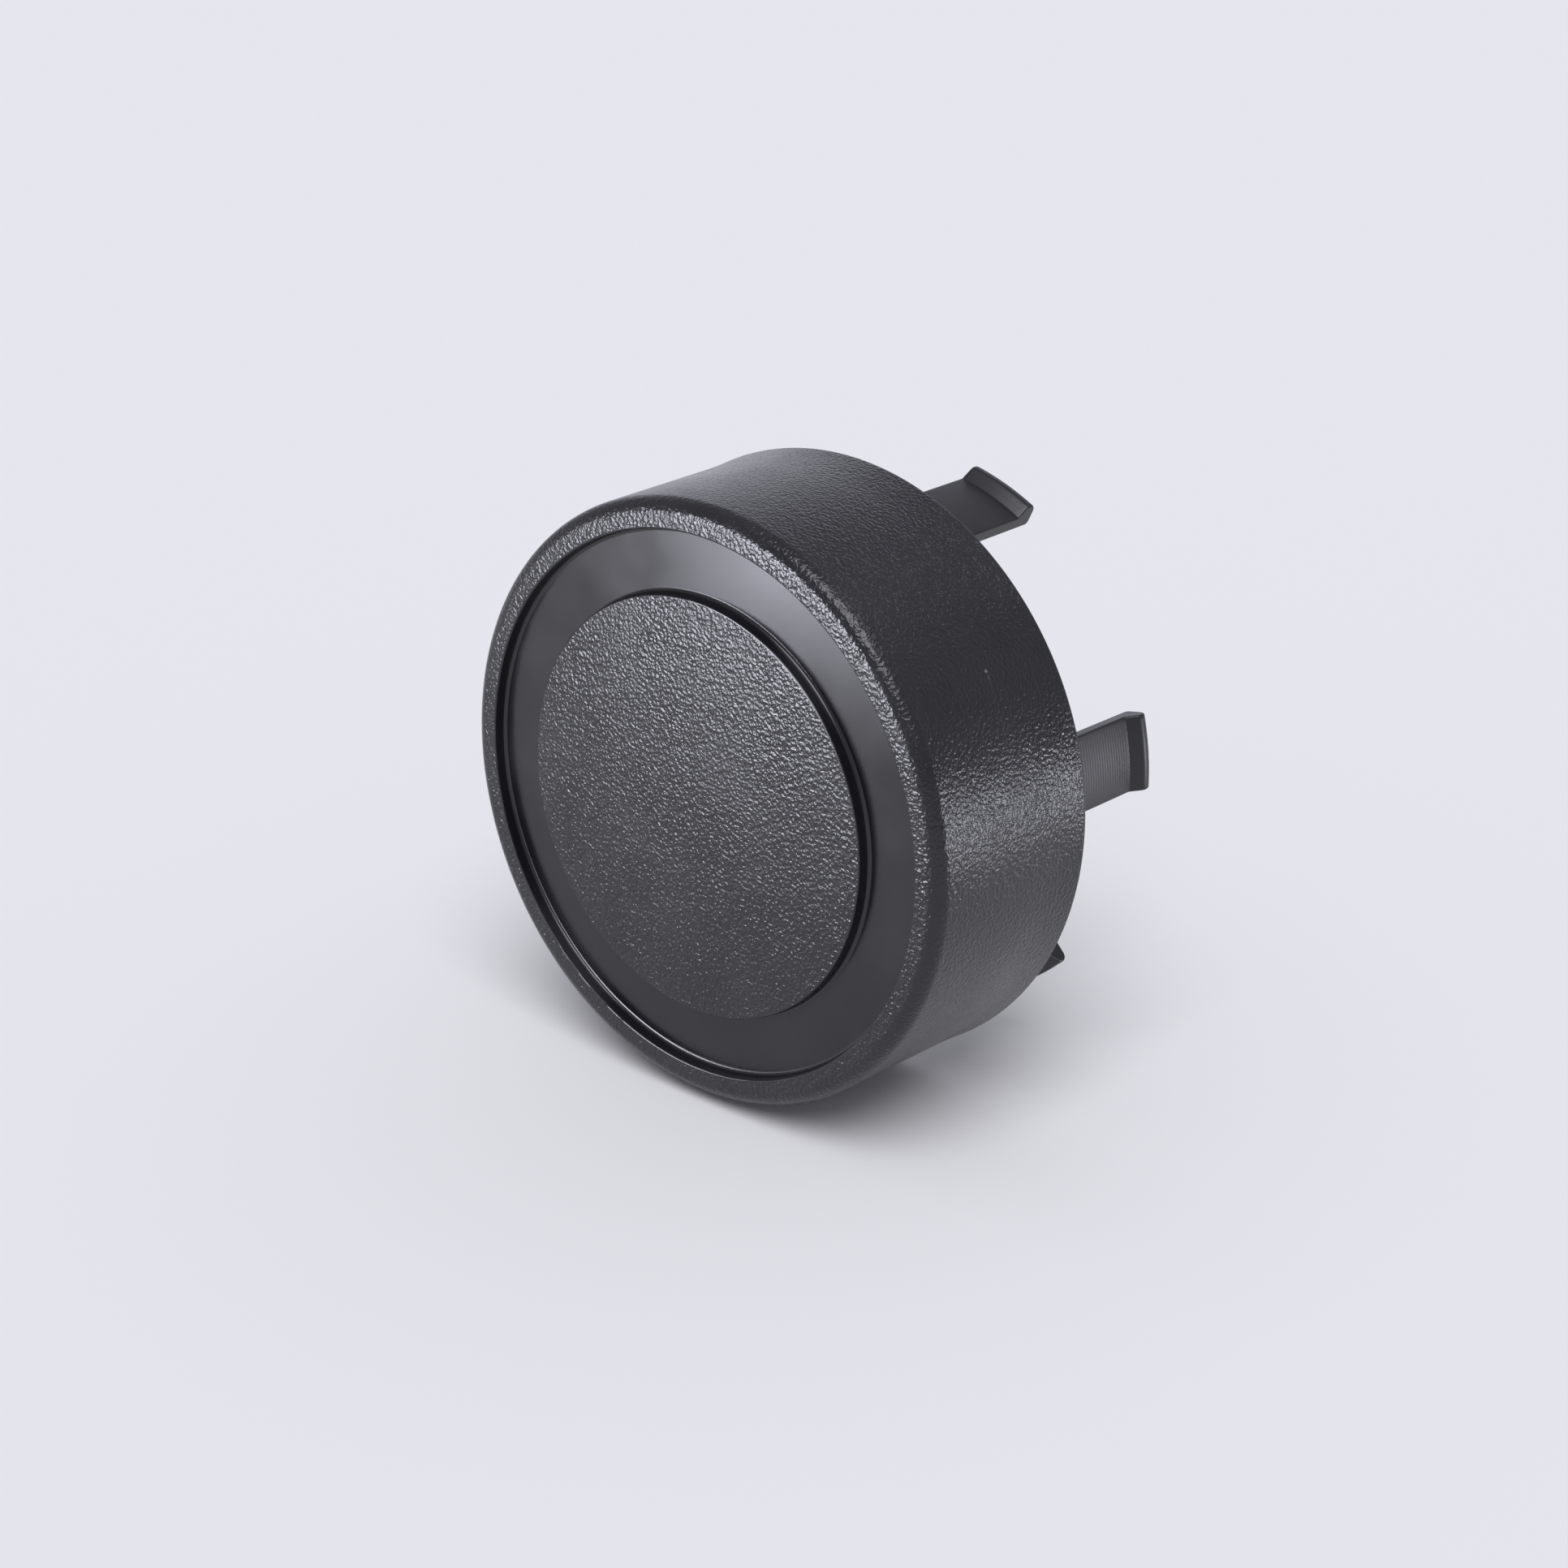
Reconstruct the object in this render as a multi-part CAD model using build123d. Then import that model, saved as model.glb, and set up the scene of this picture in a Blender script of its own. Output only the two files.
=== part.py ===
from build123d import *
import math
import os

# Snap-in wheel centre cap, one injection moulding, sizes in millimetres.
# The axis is Y and the face looks along -Y, with +Z up.
# The origin is on the axis, in the plane of the skirt's rear edge, which seats on the wheel.

# Wheel that the cap fits
bore_diameter = 106.0       # centre bore that the clips snap into
seat_overlap = 4.5          # how far the skirt's rear edge covers the wheel round the bore

# Skirt
skirt_depth = 38.5          # lip face to seat
skirt_draft = 2.3           # degrees, opening towards the seat
flare_length = 11.0         # rear stretch that curves outwards
flare_out = 0.45            # how far the curve carries the edge beyond the drafted line
rim_round = 2.8
seat_edge_bevel = 0.3
wall = 2.2

# Face: a lip, a sunk ring and a raised middle disc
lip_width = 5.4             # from where skirt and lip would meet without the rim round
ring_width = 11.4
ring_depth = 2.5
ring_corner_bevel = 0.5
inside_corner_bevel = 0.8

# Clips
bore_clearance = 0.2        # each side, at the foot of the barb
clip_count = 6
first_clip_angle = 22.5     # degrees clockwise from the top, seen from the front
clip_width = 14.0
clip_thickness = 2.3
clip_reach = 20.25          # seat to the foot of the barb
barb_height = 1.95
barb_ramp = 2.0             # length of the sloping catch face
barb_land = 2.2             # length from the top of the ramp to the clip's end
barb_foot_round = 0.4
barb_crest_round = 1.0
barb_nose_round = 1.2
tip_setback = 0.4           # how far the end slopes back towards its inner edge
tip_bevel = 0.8

# Ribs that tie each clip to the skirt
ribs_per_clip = 2
rib_spacing = 8.0
rib_thickness = 1.6
rib_setback = 14.0          # top of the rib below the seat

# Places worked out from the sizes above
draft_slope = math.tan(math.radians(skirt_draft))
seat_radius = bore_diameter / 2 + seat_overlap
front_radius = seat_radius - flare_out - draft_slope * skirt_depth
ring_outer_radius = front_radius - lip_width
disc_radius = ring_outer_radius - ring_width
face_y = -skirt_depth
ring_y = face_y + ring_depth
ring_underside_y = ring_y + wall
disc_underside_y = face_y + wall
flare_start_y = -flare_length
clip_radius = bore_diameter / 2 - bore_clearance
clip_end_y = clip_reach + barb_ramp + barb_land


def skirt_outside(y):
    return front_radius + draft_slope * (y - face_y)


def skirt_inside(y):
    return skirt_outside(y) - wall


def clip_outside(y):
    return clip_radius + draft_slope * (y - clip_reach)


def clip_inside(y):
    return clip_outside(y) - clip_thickness


def corner(sketch, radius, y):
    return sketch.vertices().sort_by_distance((radius, y, 0))[0]


def make_cup():
    disc_step_radius = disc_radius - wall
    with BuildSketch() as section:
        with BuildLine():
            Polyline(
                (skirt_outside(flare_start_y), flare_start_y),
                (front_radius, face_y),
                (ring_outer_radius, face_y),
                (ring_outer_radius, ring_y),
                (disc_radius, ring_y),
                (disc_radius, face_y),
                (0, face_y),
                (0, disc_underside_y),
                (disc_step_radius, disc_underside_y),
                (disc_step_radius, ring_underside_y),
                (skirt_inside(ring_underside_y), ring_underside_y),
                (skirt_inside(0), 0),
                (seat_radius, 0),
            )
            TangentArc(
                (skirt_outside(flare_start_y), flare_start_y),
                (seat_radius, 0),
                tangent=(draft_slope, 1),
            )
        make_face()
        fillet(corner(section, front_radius, face_y), rim_round)
        chamfer(corner(section, seat_radius, 0), seat_edge_bevel)
        chamfer(corner(section, ring_outer_radius, ring_y), ring_corner_bevel)
        chamfer(corner(section, disc_radius, ring_y), ring_corner_bevel)
        chamfer(corner(section, disc_step_radius, disc_underside_y), inside_corner_bevel)
        chamfer(corner(section, skirt_inside(ring_underside_y), ring_underside_y), inside_corner_bevel)
    return revolve(section.sketch, Axis.Y)


def make_clip():
    # A ring with the clip's section, cut to one clip's width at the top of the cap
    foot_y = ring_y + wall / 2
    crest_radius = clip_radius + barb_height
    crest_y = clip_reach + barb_ramp
    tip_y = clip_end_y - tip_setback
    with BuildSketch() as section:
        with BuildLine():
            Polyline(
                (clip_inside(foot_y), foot_y),
                (clip_outside(foot_y), foot_y),
                (clip_radius, clip_reach),
                (crest_radius, crest_y),
                (crest_radius, clip_end_y),
                (clip_inside(tip_y), tip_y),
                close=True,
            )
        make_face()
        fillet(corner(section, clip_radius, clip_reach), barb_foot_round)
        fillet(corner(section, crest_radius, crest_y), barb_crest_round)
        fillet(corner(section, crest_radius, clip_end_y), barb_nose_round)
        chamfer(corner(section, clip_inside(tip_y), tip_y), tip_bevel)
    ring = revolve(section.sketch, Axis.Y)
    slab_height = 2 * crest_radius
    slab = Pos(0, 0, slab_height / 2) * Box(clip_width, 2 * (clip_end_y - face_y), slab_height)
    return ring & slab


def make_rib():
    # A flat web between the clip's outer side and the inside of the skirt
    foot_y = ring_y + wall / 2
    top_y = -rib_setback
    outline = Polyline(
        (0, foot_y, clip_outside(foot_y) - clip_thickness / 2),
        (0, foot_y, skirt_inside(foot_y) + wall / 2),
        (0, top_y, skirt_inside(top_y) + wall / 2),
        (0, top_y, clip_outside(top_y) - clip_thickness / 2),
        close=True,
    )
    return extrude(make_face(outline), rib_thickness / 2, both=True)


def make_clip_with_ribs():
    clip = make_clip()
    rib = make_rib()
    for index in range(ribs_per_clip):
        offset = rib_spacing * (index - (ribs_per_clip - 1) / 2)
        clip += Pos(offset, 0, 0) * rib
    return clip


def make_cap():
    cap = make_cup()
    clip = make_clip_with_ribs()
    for index in range(clip_count):
        angle = first_clip_angle + index * 360 / clip_count
        cap += Rot(0, angle, 0) * clip
    return cap


os.makedirs("parts", exist_ok=True)
export_step(make_cap(), "parts/centre_cap.step")
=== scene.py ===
import bmesh
import bpy
import math
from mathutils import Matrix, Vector


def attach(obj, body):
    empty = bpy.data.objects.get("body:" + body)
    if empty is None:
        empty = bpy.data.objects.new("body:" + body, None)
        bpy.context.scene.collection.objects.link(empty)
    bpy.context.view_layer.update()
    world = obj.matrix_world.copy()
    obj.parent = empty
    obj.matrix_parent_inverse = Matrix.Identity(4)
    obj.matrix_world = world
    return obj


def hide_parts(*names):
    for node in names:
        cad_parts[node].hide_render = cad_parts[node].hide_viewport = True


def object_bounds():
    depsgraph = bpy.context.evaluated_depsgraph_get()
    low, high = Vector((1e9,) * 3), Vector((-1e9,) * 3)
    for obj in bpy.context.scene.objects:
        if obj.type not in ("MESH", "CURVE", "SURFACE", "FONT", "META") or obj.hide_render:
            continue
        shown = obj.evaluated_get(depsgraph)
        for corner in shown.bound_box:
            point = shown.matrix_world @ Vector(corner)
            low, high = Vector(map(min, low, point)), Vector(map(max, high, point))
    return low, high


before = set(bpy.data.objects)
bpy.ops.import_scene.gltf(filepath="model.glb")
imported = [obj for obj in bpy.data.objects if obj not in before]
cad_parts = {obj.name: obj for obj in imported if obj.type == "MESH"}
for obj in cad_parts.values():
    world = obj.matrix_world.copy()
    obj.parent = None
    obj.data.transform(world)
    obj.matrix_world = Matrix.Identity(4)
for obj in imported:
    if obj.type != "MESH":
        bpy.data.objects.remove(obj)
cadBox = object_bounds()
print("frame loaded:", ", ".join(sorted(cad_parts)))

mm = 0.001  # the cap is drawn in millimetres and scaled to metres when it is whole


# Small tools

def linear(hexColour):  # sRGB hex to linear RGBA
    channels = [int(hexColour[i:i + 2], 16) / 255 for i in (1, 3, 5)]
    return [c / 12.92 if c <= 0.04045 else ((c + 0.055) / 1.055) ** 2.4 for c in channels] + [1]


def addNode(tree, kind, settings, inputs):
    node = tree.nodes.new(kind)
    for name, value in settings.items():
        setattr(node, name, value)
    for name, value in inputs.items():
        if isinstance(value, tuple) and isinstance(value[0], bpy.types.Node):
            tree.links.new(value[0].outputs[value[1]], node.inputs[name])
        else:
            node.inputs[name].default_value = value
    return node


def selectParts(piece, kind, test):  # kind is verts, edges or faces
    bpy.ops.mesh.select_mode(type={"verts": "VERT", "edges": "EDGE", "faces": "FACE"}[kind])
    bpy.ops.mesh.select_all(action="DESELECT")
    shape = bmesh.from_edit_mesh(piece.data)
    for part in getattr(shape, kind):
        part.select_set(test(part))
    shape.select_flush_mode()
    bmesh.update_edit_mesh(piece.data)


def editAlone(piece):
    bpy.ops.object.select_all(action="DESELECT")
    piece.select_set(True)
    bpy.context.view_layer.objects.active = piece
    bpy.ops.object.mode_set(mode="EDIT")


def tidyNormals():
    bpy.ops.mesh.select_all(action="SELECT")
    bpy.ops.mesh.remove_doubles(threshold=0.001)
    bpy.ops.mesh.normals_make_consistent(inside=False)


def inSection(radius, y):  # sections are drawn in the plane above the axis
    return Vector((0, y, radius))


def drawSection(name, points, closed):
    bpy.ops.object.select_all(action="DESELECT")
    bpy.ops.mesh.primitive_plane_add(size=1)
    piece = bpy.context.object
    piece.name = name
    bpy.ops.object.mode_set(mode="EDIT")
    bpy.ops.mesh.select_mode(type="VERT")
    bpy.ops.mesh.select_all(action="SELECT")
    bpy.ops.mesh.merge(type="CENTER")  # the plane becomes the section's first vertex
    bpy.ops.transform.translate(value=inSection(*points[0]))
    for here, there in zip(points, points[1:]):
        step = inSection(*there) - inSection(*here)
        bpy.ops.mesh.extrude_vertices_move(TRANSFORM_OT_translate={"value": step})
    if closed:
        ends = [inSection(*points[0]), inSection(*points[-1])]
        selectParts(piece, "verts", lambda v: min((v.co - end).length for end in ends) < 0.001)
        bpy.ops.mesh.edge_face_add()
    return piece


def roundCorner(piece, place, radius, segments):
    corner = inSection(*place)
    selectParts(piece, "verts", lambda v: (v.co - corner).length < 0.001)
    vertex = next(v for v in bmesh.from_edit_mesh(piece.data).verts if v.select)
    legs = [edge.other_vert(vertex).co - vertex.co for edge in vertex.link_edges]
    setback = radius / math.tan(legs[0].angle(legs[1]) / 2)
    bpy.ops.mesh.bevel(offset=setback, segments=segments, affect="VERTICES", profile=0.5)


def unite(piece, other):
    bpy.ops.object.select_all(action="DESELECT")
    piece.select_set(True)
    bpy.context.view_layer.objects.active = piece
    modifier = piece.modifiers.new("unite", "BOOLEAN")
    modifier.operation = "UNION"
    modifier.solver = "EXACT"
    modifier.object = other
    bpy.ops.object.modifier_apply(modifier=modifier.name)
    bpy.data.objects.remove(other)


# Cup: skirt, rim, lip, sunk ring and raised disc, turned from one section

cup = {
    "boreDiameter": 106.0,   # wheel bore
    "seatOverlap": 4.5,
    "depth": 38.5,           # lip to seat
    "draft": 2.3,            # degrees
    "flareLength": 11.0,
    "flareOut": 0.45,
    "flareSteps": 8,
    "wall": 2.2,
    "lipWidth": 5.4,
    "ringWidth": 11.4,
    "ringDepth": 2.5,
    "rimRound": 2.8,
    "ringFillet": 0.8,
    "lipEdgeRound": 0.4,
    "discEdgeRound": 0.3,
    "seatEdgeRound": 0.6,
    "insideFillet": 1.0,
    "turnSteps": 288,
}

slope = math.tan(math.radians(cup["draft"]))
seatRadius = cup["boreDiameter"] / 2 + cup["seatOverlap"]
frontRadius = seatRadius - cup["flareOut"] - slope * cup["depth"]
ringOuter = frontRadius - cup["lipWidth"]
discRadius = ringOuter - cup["ringWidth"]
discStep = discRadius - cup["wall"]
faceY = -cup["depth"]
ringY = faceY + cup["ringDepth"]
ringUnderY = ringY + cup["wall"]
discUnderY = faceY + cup["wall"]


def skirtOutside(y):
    return frontRadius + slope * (y - faceY)


def skirtInside(y):
    return skirtOutside(y) - cup["wall"]


def makeCup():
    flare = []
    for index in range(cup["flareSteps"] + 1):
        share = index / cup["flareSteps"]
        y = cup["flareLength"] * (share - 1)
        flare.append((skirtOutside(y) + cup["flareOut"] * share ** 2, y))
    corners = {  # place: (round, segments)
        (discRadius, faceY): (cup["discEdgeRound"], 3),
        (discRadius, ringY): (cup["ringFillet"], 6),
        (ringOuter, ringY): (cup["ringFillet"], 6),
        (ringOuter, faceY): (cup["lipEdgeRound"], 3),
        (frontRadius, faceY): (cup["rimRound"], 14),
    }
    inside = {
        (skirtInside(0), 0): (cup["seatEdgeRound"], 3),
        (skirtInside(ringUnderY), ringUnderY): (cup["insideFillet"], 6),
        (discStep, ringUnderY): (cup["seatEdgeRound"], 3),
        (discStep, discUnderY): (cup["insideFillet"], 6),
    }
    points = [(0, faceY), *corners, *flare, *inside, (0, discUnderY)]
    piece = drawSection("centreCap", points, closed=False)
    rounds = {**corners, flare[-1]: (cup["seatEdgeRound"], 4), **inside}
    for place, (radius, segments) in rounds.items():
        roundCorner(piece, place, radius, segments)
    bpy.ops.mesh.select_all(action="SELECT")
    bpy.ops.mesh.spin(steps=cup["turnSteps"], angle=math.tau, center=(0, 0, 0), axis=(0, 1, 0))
    tidyNormals()
    bpy.ops.object.mode_set(mode="OBJECT")
    return piece


# Clips: a barbed tongue with two ribs that tie it to the skirt, copied round the axis

clip = {
    "count": 6,
    "firstAngle": 22.5,      # degrees clockwise from the top, seen from the front
    "clearance": 0.2,        # to the bore, at the foot of the barb
    "width": 14.0,
    "thickness": 2.3,
    "reach": 20.25,          # seat to the foot of the barb
    "barbHeight": 1.95,
    "barbRamp": 2.0,
    "barbLand": 2.2,
    "tipSetback": 0.4,       # the end slopes back towards its inner edge
    "footRound": 0.4,
    "crestRound": 1.0,
    "noseRound": 1.2,
    "tipRound": 1.0,
    "sideRound": 0.35,
    "turnSteps": 8,
    "turnAngle": 17.04,      # degrees, trimmed to the width afterwards
}
rib = {
    "perClip": 2,
    "spacing": 8.0,
    "thickness": 1.6,
    "setback": 14.0,         # top of the rib below the seat
    "edgeRound": 0.3,
}

clipRadius = cup["boreDiameter"] / 2 - clip["clearance"]
crestRadius = clipRadius + clip["barbHeight"]
crestY = clip["reach"] + clip["barbRamp"]
clipEndY = crestY + clip["barbLand"]
clipFootY = ringY + cup["wall"] / 2


def clipOutside(y):
    return clipRadius + slope * (y - clip["reach"])


def clipInside(y):
    return clipOutside(y) - clip["thickness"]


def makeTongue():
    tipY = clipEndY - clip["tipSetback"]
    tip = (clipInside(tipY), tipY)
    points = [
        (clipInside(clipFootY), clipFootY),
        (clipOutside(clipFootY), clipFootY),
        (clipRadius, clip["reach"]),
        (crestRadius, crestY),
        (crestRadius, clipEndY),
        tip,
    ]
    piece = drawSection("clip", points, closed=True)
    roundCorner(piece, points[2], clip["footRound"], 3)
    roundCorner(piece, points[3], clip["crestRound"], 5)
    roundCorner(piece, points[4], clip["noseRound"], 7)
    roundCorner(piece, tip, clip["tipRound"], 4)
    bpy.ops.mesh.select_all(action="SELECT")
    turn = math.radians(clip["turnAngle"])
    bpy.ops.mesh.spin(steps=clip["turnSteps"], angle=turn, center=(0, 0, 0), axis=(0, 1, 0))
    bpy.ops.object.mode_set(mode="OBJECT")
    middle = sum(v.co.x for v in piece.data.vertices)
    turnApplied(piece, -turn / 2 if middle > 0 else turn / 2)
    editAlone(piece)
    for side in (1, -1):
        bpy.ops.mesh.select_all(action="SELECT")
        bpy.ops.mesh.bisect(plane_co=(side * clip["width"] / 2, 0, 0), plane_no=(side, 0, 0),
                            use_fill=True, clear_outer=True)
    tidyNormals()
    onSide = clip["width"] / 2 - 0.001
    selectParts(piece, "edges", lambda e: min(abs(v.co.x) for v in e.verts) > onSide)
    bpy.ops.mesh.bevel(offset=clip["sideRound"], segments=3, affect="EDGES", profile=0.5)
    tidyNormals()
    bpy.ops.object.mode_set(mode="OBJECT")
    return piece


def makeRib(offset):
    topY = -rib["setback"]
    points = [
        (clipOutside(clipFootY) - clip["thickness"] / 2, clipFootY),
        (skirtInside(clipFootY) + cup["wall"] / 2, clipFootY),
        (skirtInside(topY) + cup["wall"] / 2, topY),
        (clipOutside(topY) - clip["thickness"] / 2, topY),
    ]
    piece = drawSection("rib", points, closed=True)
    bpy.ops.mesh.select_all(action="SELECT")
    bpy.ops.mesh.edge_face_add()
    bpy.ops.mesh.extrude_region_move(TRANSFORM_OT_translate={"value": (rib["thickness"], 0, 0)})
    bpy.ops.mesh.select_all(action="SELECT")
    bpy.ops.transform.translate(value=(offset - rib["thickness"] / 2, 0, 0))
    bpy.ops.mesh.bevel(offset=rib["edgeRound"], segments=2, affect="EDGES", profile=0.5)
    tidyNormals()
    bpy.ops.object.mode_set(mode="OBJECT")
    return piece


def turnApplied(piece, angle):
    bpy.ops.object.select_all(action="DESELECT")
    piece.select_set(True)
    bpy.context.view_layer.objects.active = piece
    piece.rotation_euler = (0, angle, 0)
    bpy.ops.object.transform_apply(location=True, rotation=True, scale=True)


def makeClips():
    first = makeTongue()
    for index in range(rib["perClip"]):
        unite(first, makeRib(rib["spacing"] * (index - (rib["perClip"] - 1) / 2)))
    copies = [first]
    for index in range(1, clip["count"]):
        bpy.ops.object.select_all(action="DESELECT")
        first.select_set(True)
        bpy.context.view_layer.objects.active = first
        bpy.ops.object.duplicate(linked=False)
        copies.append(bpy.context.object)
    for index, piece in enumerate(copies):
        turnApplied(piece, math.radians(clip["firstAngle"] + index * 360 / clip["count"]))
    for piece in copies:
        piece.select_set(True)
    bpy.context.view_layer.objects.active = first
    bpy.ops.object.join()
    return first


# Materials: one black ABS, with the finish that each part of the mould gives it

black = {
    "dark": "#141418",       # the moulding's colour drifts a little between these two
    "light": "#1a1a1e",
    "ior": 1.53,
    "drift": 14.0,           # mm, patches where the melt cooled alike
    "spread": (0.3, 0.7),    # share of the noise that runs from dark to light
}
grain = {
    "pebble": 0.65,          # mm, one pebble of the etched leather grain, drawn a little coarser to show
    "height": 0.19,          # mm
    "gloss": (0.22, 0.30),   # roughness, between well filled and starved patches
}
satin = {
    "stoneLine": 0.4,        # mm, marks of the polishing stone, drawn coarser than they are to show
    "height": 0.004,         # mm
    "gloss": (0.20, 0.27),
}
nick = {                     # a small knock on the skirt, with a fine scratch trailing from it
    "angle": 57.0,           # degrees clockwise from the top
    "y": -16.7,
    "radius": 56.38,
    "fleck": (0.40, 0.50, 0.5),
    "tailAngle": 58.2,
    "tail": (0.95, 0.14, 0.5),
    "tailShare": 0.35,       # how much fainter the scratch is
    "bruise": "#7d7d83",     # plastic whitened by the knock
}
core = {
    "turnedLine": 0.7,       # mm between tool marks, drawn coarser than they are to show
    "height": 0.012,         # mm
    "gloss": (0.32, 0.42),
}


def startMaterial(name):
    material = bpy.data.materials.new(name)
    material.use_nodes = True
    material.node_tree.nodes.clear()
    return material, material.node_tree


def nickMask(tree, place, angle, size):  # 1 in the middle of a small ellipsoid, 0 outside it
    turn = math.radians(angle)
    middle = (nick["radius"] * math.sin(turn) * mm, nick["y"] * mm, nick["radius"] * math.cos(turn) * mm)
    inNick = addNode(tree, "ShaderNodeMapping", {"vector_type": "TEXTURE"}, {
        "Vector": (place, "Object"), "Location": middle, "Rotation": (0, turn, 0),
        "Scale": [length * mm for length in size]})
    return addNode(tree, "ShaderNodeTexGradient", {"gradient_type": "SPHERICAL"}, {
        "Vector": (inNick, "Vector")})


def bruised(tree, place, colour):
    fleck = nickMask(tree, place, nick["angle"], nick["fleck"])
    tail = nickMask(tree, place, nick["tailAngle"], nick["tail"])
    fainter = addNode(tree, "ShaderNodeMath", {"operation": "MULTIPLY"}, {
        0: (tail, "Fac"), 1: nick["tailShare"]})
    both = addNode(tree, "ShaderNodeMath", {"operation": "MAXIMUM"}, {
        0: (fleck, "Fac"), 1: (fainter, "Value")})
    mix = addNode(tree, "ShaderNodeMix", {"data_type": "RGBA"}, {
        "Factor": (both, "Value"), 6: (colour, "Color"), 7: linear(nick["bruise"])})  # 6 and 7 are colours
    return mix, 2  # the mixed colour


def finishBlack(tree, place, gloss, bump, marked=False):  # colour and gloss drift together in patches
    patches = addNode(tree, "ShaderNodeTexNoise", {}, {
        "Vector": (place, "Object"), "Scale": 1 / (black["drift"] * mm), "Detail": 3.0})
    colour = addNode(tree, "ShaderNodeValToRGB", {}, {"Fac": (patches, "Fac")})
    low, high = black["spread"]
    colour.color_ramp.elements[0].position = low
    colour.color_ramp.elements[0].color = linear(black["dark"])
    colour.color_ramp.elements[1].position = high
    colour.color_ramp.elements[1].color = linear(black["light"])
    paint = bruised(tree, place, colour) if marked else (colour, "Color")
    roughness = addNode(tree, "ShaderNodeMapRange", {}, {
        "Value": (patches, "Fac"), "From Min": low, "From Max": high, "To Min": gloss[0], "To Max": gloss[1]})
    shader = addNode(tree, "ShaderNodeBsdfPrincipled", {}, {
        "Base Color": paint, "Roughness": (roughness, "Result"), "IOR": black["ior"],
        "Normal": (bump, "Normal")})
    addNode(tree, "ShaderNodeOutputMaterial", {}, {"Surface": (shader, "BSDF")})


def makeGrainedPlastic():
    # ABS moulded against an etched leather grain: near black, breaking a highlight into fine glints
    material, tree = startMaterial("absLeatherGrain")
    place = addNode(tree, "ShaderNodeTexCoord", {}, {})
    pebbles = addNode(tree, "ShaderNodeTexNoise", {}, {
        "Vector": (place, "Object"), "Scale": 1 / (grain["pebble"] * mm), "Detail": 1.0, "Roughness": 0.5})
    bump = addNode(tree, "ShaderNodeBump", {}, {
        "Strength": 1.0, "Distance": grain["height"] * mm, "Height": (pebbles, "Fac")})
    finishBlack(tree, place, grain["gloss"], bump, marked=True)
    return material


def makeSatinPlastic():
    # ABS moulded against a stoned and polished ring of the mould: smooth, with soft broad reflections
    material, tree = startMaterial("absStonedSatin")
    place = addNode(tree, "ShaderNodeTexCoord", {}, {})
    stoning = addNode(tree, "ShaderNodeTexNoise", {}, {
        "Vector": (place, "Object"), "Scale": 1 / (satin["stoneLine"] * mm), "Detail": 2.0})
    bump = addNode(tree, "ShaderNodeBump", {}, {
        "Strength": 1.0, "Distance": satin["height"] * mm, "Height": (stoning, "Fac")})
    finishBlack(tree, place, satin["gloss"], bump)
    return material


def makeCorePlastic():
    # ABS off the mould's turned core: smooth, a little duller than the face, with faint turned lines
    material, tree = startMaterial("absTurnedCore")
    place = addNode(tree, "ShaderNodeTexCoord", {}, {})
    lines = addNode(tree, "ShaderNodeTexWave", {
        "wave_type": "BANDS", "bands_direction": "Y", "wave_profile": "SIN"}, {
        "Vector": (place, "Object"), "Scale": math.pi / (10 * core["turnedLine"] * mm), "Distortion": 0.6,
        "Detail": 1.0, "Detail Scale": 2.0})
    bump = addNode(tree, "ShaderNodeBump", {}, {
        "Strength": 1.0, "Distance": core["height"] * mm, "Height": (lines, "Fac")})
    finishBlack(tree, place, core["gloss"], bump)
    return material


def zoneOf(face):
    place = face.calc_center_median()
    radius = math.hypot(place.x, place.z)
    if place.y < faceY + 0.01 and (radius < discRadius or radius > ringOuter):
        return 0
    onRim = place.y < faceY + cup["rimRound"] and radius > skirtOutside(place.y) - cup["rimRound"]
    if onRim and radius > ringOuter + 0.5:
        return 0
    if place.y < -cup["seatEdgeRound"] and radius > skirtOutside(place.y) - cup["wall"] / 2:
        return 0
    if place.y < ringY + 0.01 and discRadius - 0.3 < radius < ringOuter + 0.3:
        return 1
    return 2


def makeCap():
    piece = makeCup()
    print("cup turned:", len(piece.data.polygons), "faces")
    clips = makeClips()
    print("clips copied:", len(clips.data.polygons), "faces")
    unite(piece, clips)
    for material in (makeGrainedPlastic(), makeSatinPlastic(), makeCorePlastic()):
        piece.data.materials.append(material)
    editAlone(piece)
    tidyNormals()
    for zone in range(3):
        selectParts(piece, "faces", lambda face: zoneOf(face) == zone)
        piece.active_material_index = zone
        bpy.ops.object.material_slot_assign()
    bpy.ops.object.mode_set(mode="OBJECT")
    bpy.ops.object.shade_smooth_by_angle(angle=math.radians(30))
    piece.scale = (mm, mm, mm)
    bpy.ops.object.transform_apply(location=True, rotation=True, scale=True)
    weighted = piece.modifiers.new("flatFacesStayFlat", "WEIGHTED_NORMAL")
    weighted.keep_sharp = True
    bpy.ops.object.modifier_apply(modifier=weighted.name)
    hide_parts("centre_cap")
    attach(piece, "root")
    return piece


cap = makeCap()
print("cap whole:", len(cap.data.polygons), "faces")


# Floor, light and camera

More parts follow.
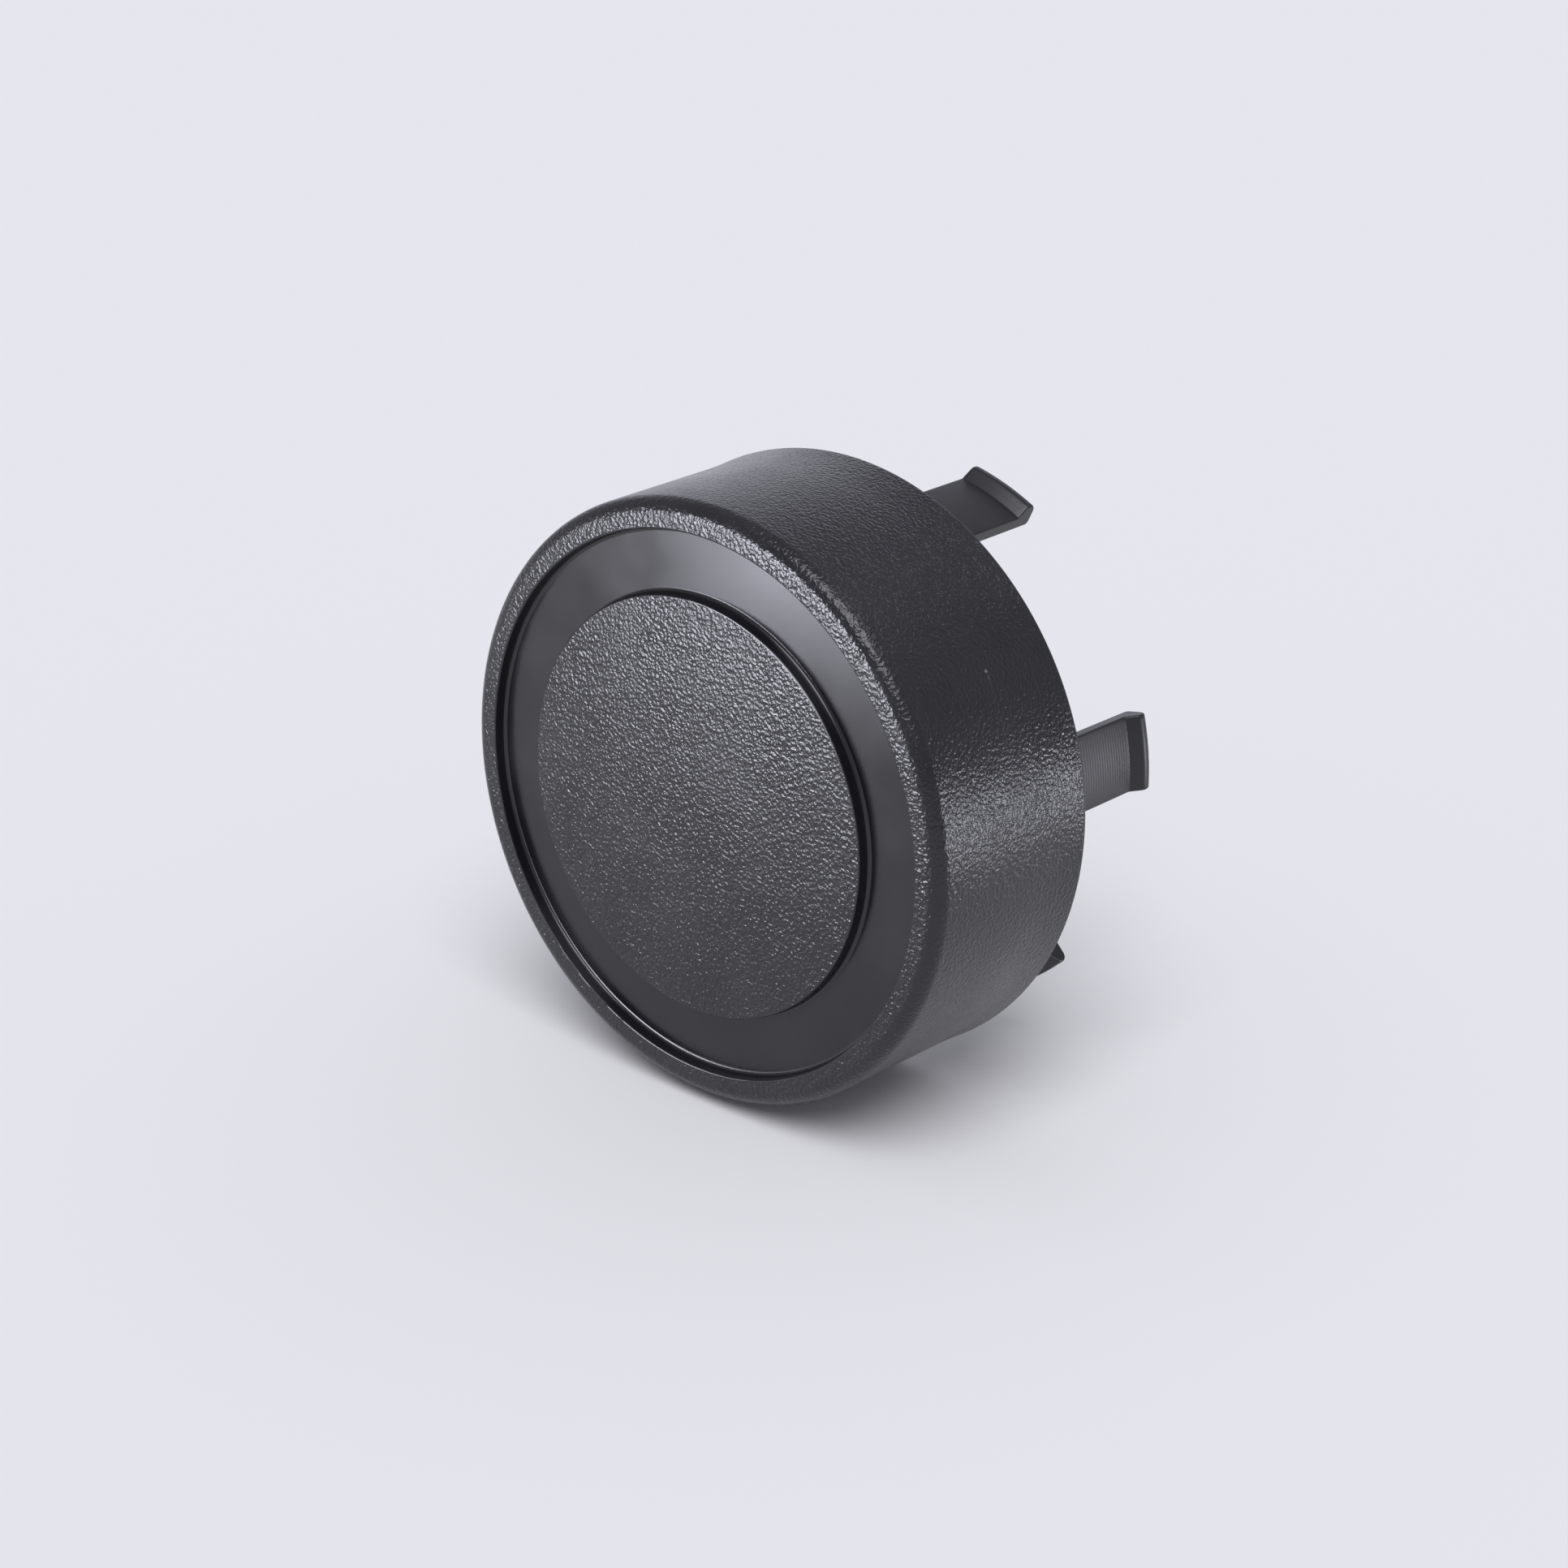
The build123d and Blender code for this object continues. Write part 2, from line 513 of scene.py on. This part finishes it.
stage = {
    "floorSize": 12.0,       # metres
    "floorColour": "#f8f8f6",
    "worldColour": "#efeffd",
    "worldStrength": 0.46,
}
overhead = {                 # a wide diffuser high on the right
    "azimuth": 38.0,         # degrees to the right of the front
    "elevation": 56.0,
    "width": 40.0,           # degrees that it spans
    "strength": 1.82,
    "colour": "#f6f6fd",
}
cards = {                    # white cards that only show as reflections; metres and radiance
    "face": {"at": (-0.15, -0.31, 0.0025), "aim": (0.0, -0.04, 0.0), "size": (0.13, 0.11), "glow": 21.0},
    "skirt": {"at": (0.30, 0.165, -0.037), "aim": (0.05, -0.02, 0.0), "size": (0.09, 0.040), "glow": 16.5},
    "crown": {"at": (-0.49, 0.58, 0.25), "aim": (0.0, 0.0, 0.0), "size": (0.95, 0.50), "glow": 0.60},
    "rim": {"at": (0.205, 0.143, 0.433), "aim": (0.03, -0.03, 0.03), "size": (0.10, 0.10), "glow": 4.0},
}
cardColour = "#efeffd"
photoCamera = {
    "at": (0.26528, -0.31517, 0.15297),
    "turn": (68.883, 0.0, 41.303),   # degrees
    "lens": 54.037,
    "sensor": 36.0,
}


def makeFloor():
    bpy.ops.object.select_all(action="DESELECT")
    bpy.ops.mesh.primitive_plane_add(size=stage["floorSize"], location=(0, 0, cadBox[0].z))
    floor = bpy.context.object
    floor.name = "floor"
    material = bpy.data.materials.new("paperFloor")
    material.use_nodes = True
    tree = material.node_tree
    tree.nodes.clear()
    shader = addNode(tree, "ShaderNodeBsdfPrincipled", {}, {
        "Base Color": linear(stage["floorColour"]), "Roughness": 0.9, "Specular IOR Level": 0.0})
    addNode(tree, "ShaderNodeOutputMaterial", {}, {"Surface": (shader, "BSDF")})
    floor.data.materials.append(material)


def makeLight():
    world = bpy.data.worlds.new("studio")
    world.use_nodes = True
    tree = world.node_tree
    tree.nodes.clear()
    sky = addNode(tree, "ShaderNodeBackground", {}, {
        "Color": linear(stage["worldColour"]), "Strength": stage["worldStrength"]})
    addNode(tree, "ShaderNodeOutputWorld", {}, {"Surface": (sky, "Background")})
    bpy.context.scene.world = world
    diffuser = bpy.data.lights.new("overhead", "SUN")
    diffuser.energy = overhead["strength"]
    diffuser.color = linear(overhead["colour"])[:3]
    diffuser.angle = math.radians(overhead["width"])
    azimuth = math.radians(overhead["azimuth"])
    elevation = math.radians(overhead["elevation"])
    flat = math.cos(elevation)
    towards = Vector((math.sin(azimuth) * flat, -math.cos(azimuth) * flat, math.sin(elevation)))
    placeLamp(diffuser, towards, -towards)
    for name, card in cards.items():
        lamp = bpy.data.lights.new(name + "Card", "AREA")
        lamp.shape = "RECTANGLE"
        lamp.size, lamp.size_y = card["size"]
        lamp.color = linear(cardColour)[:3]
        lamp.energy = card["glow"] * math.pi * lamp.size * lamp.size_y
        holder = placeLamp(lamp, Vector(card["at"]), Vector(card["aim"]) - Vector(card["at"]))
        holder.visible_camera = False
        holder.visible_diffuse = False


def placeLamp(lamp, at, facing):
    holder = bpy.data.objects.new(lamp.name, lamp)
    holder.location = at
    holder.rotation_euler = facing.to_track_quat("-Z", "Y").to_euler()
    bpy.context.scene.collection.objects.link(holder)
    return holder


def makeCamera():
    lens = bpy.data.cameras.new("photoCamera")
    lens.lens = photoCamera["lens"]
    lens.sensor_width = photoCamera["sensor"]
    lens.clip_start = 0.01
    holder = bpy.data.objects.new("photoCamera", lens)
    holder.location = photoCamera["at"]
    holder.rotation_euler = [math.radians(angle) for angle in photoCamera["turn"]]
    bpy.context.scene.collection.objects.link(holder)
    bpy.context.scene.camera = holder


makeFloor()
makeLight()
makeCamera()
bpy.context.scene.view_settings.view_transform = "Standard"
print("stage set")
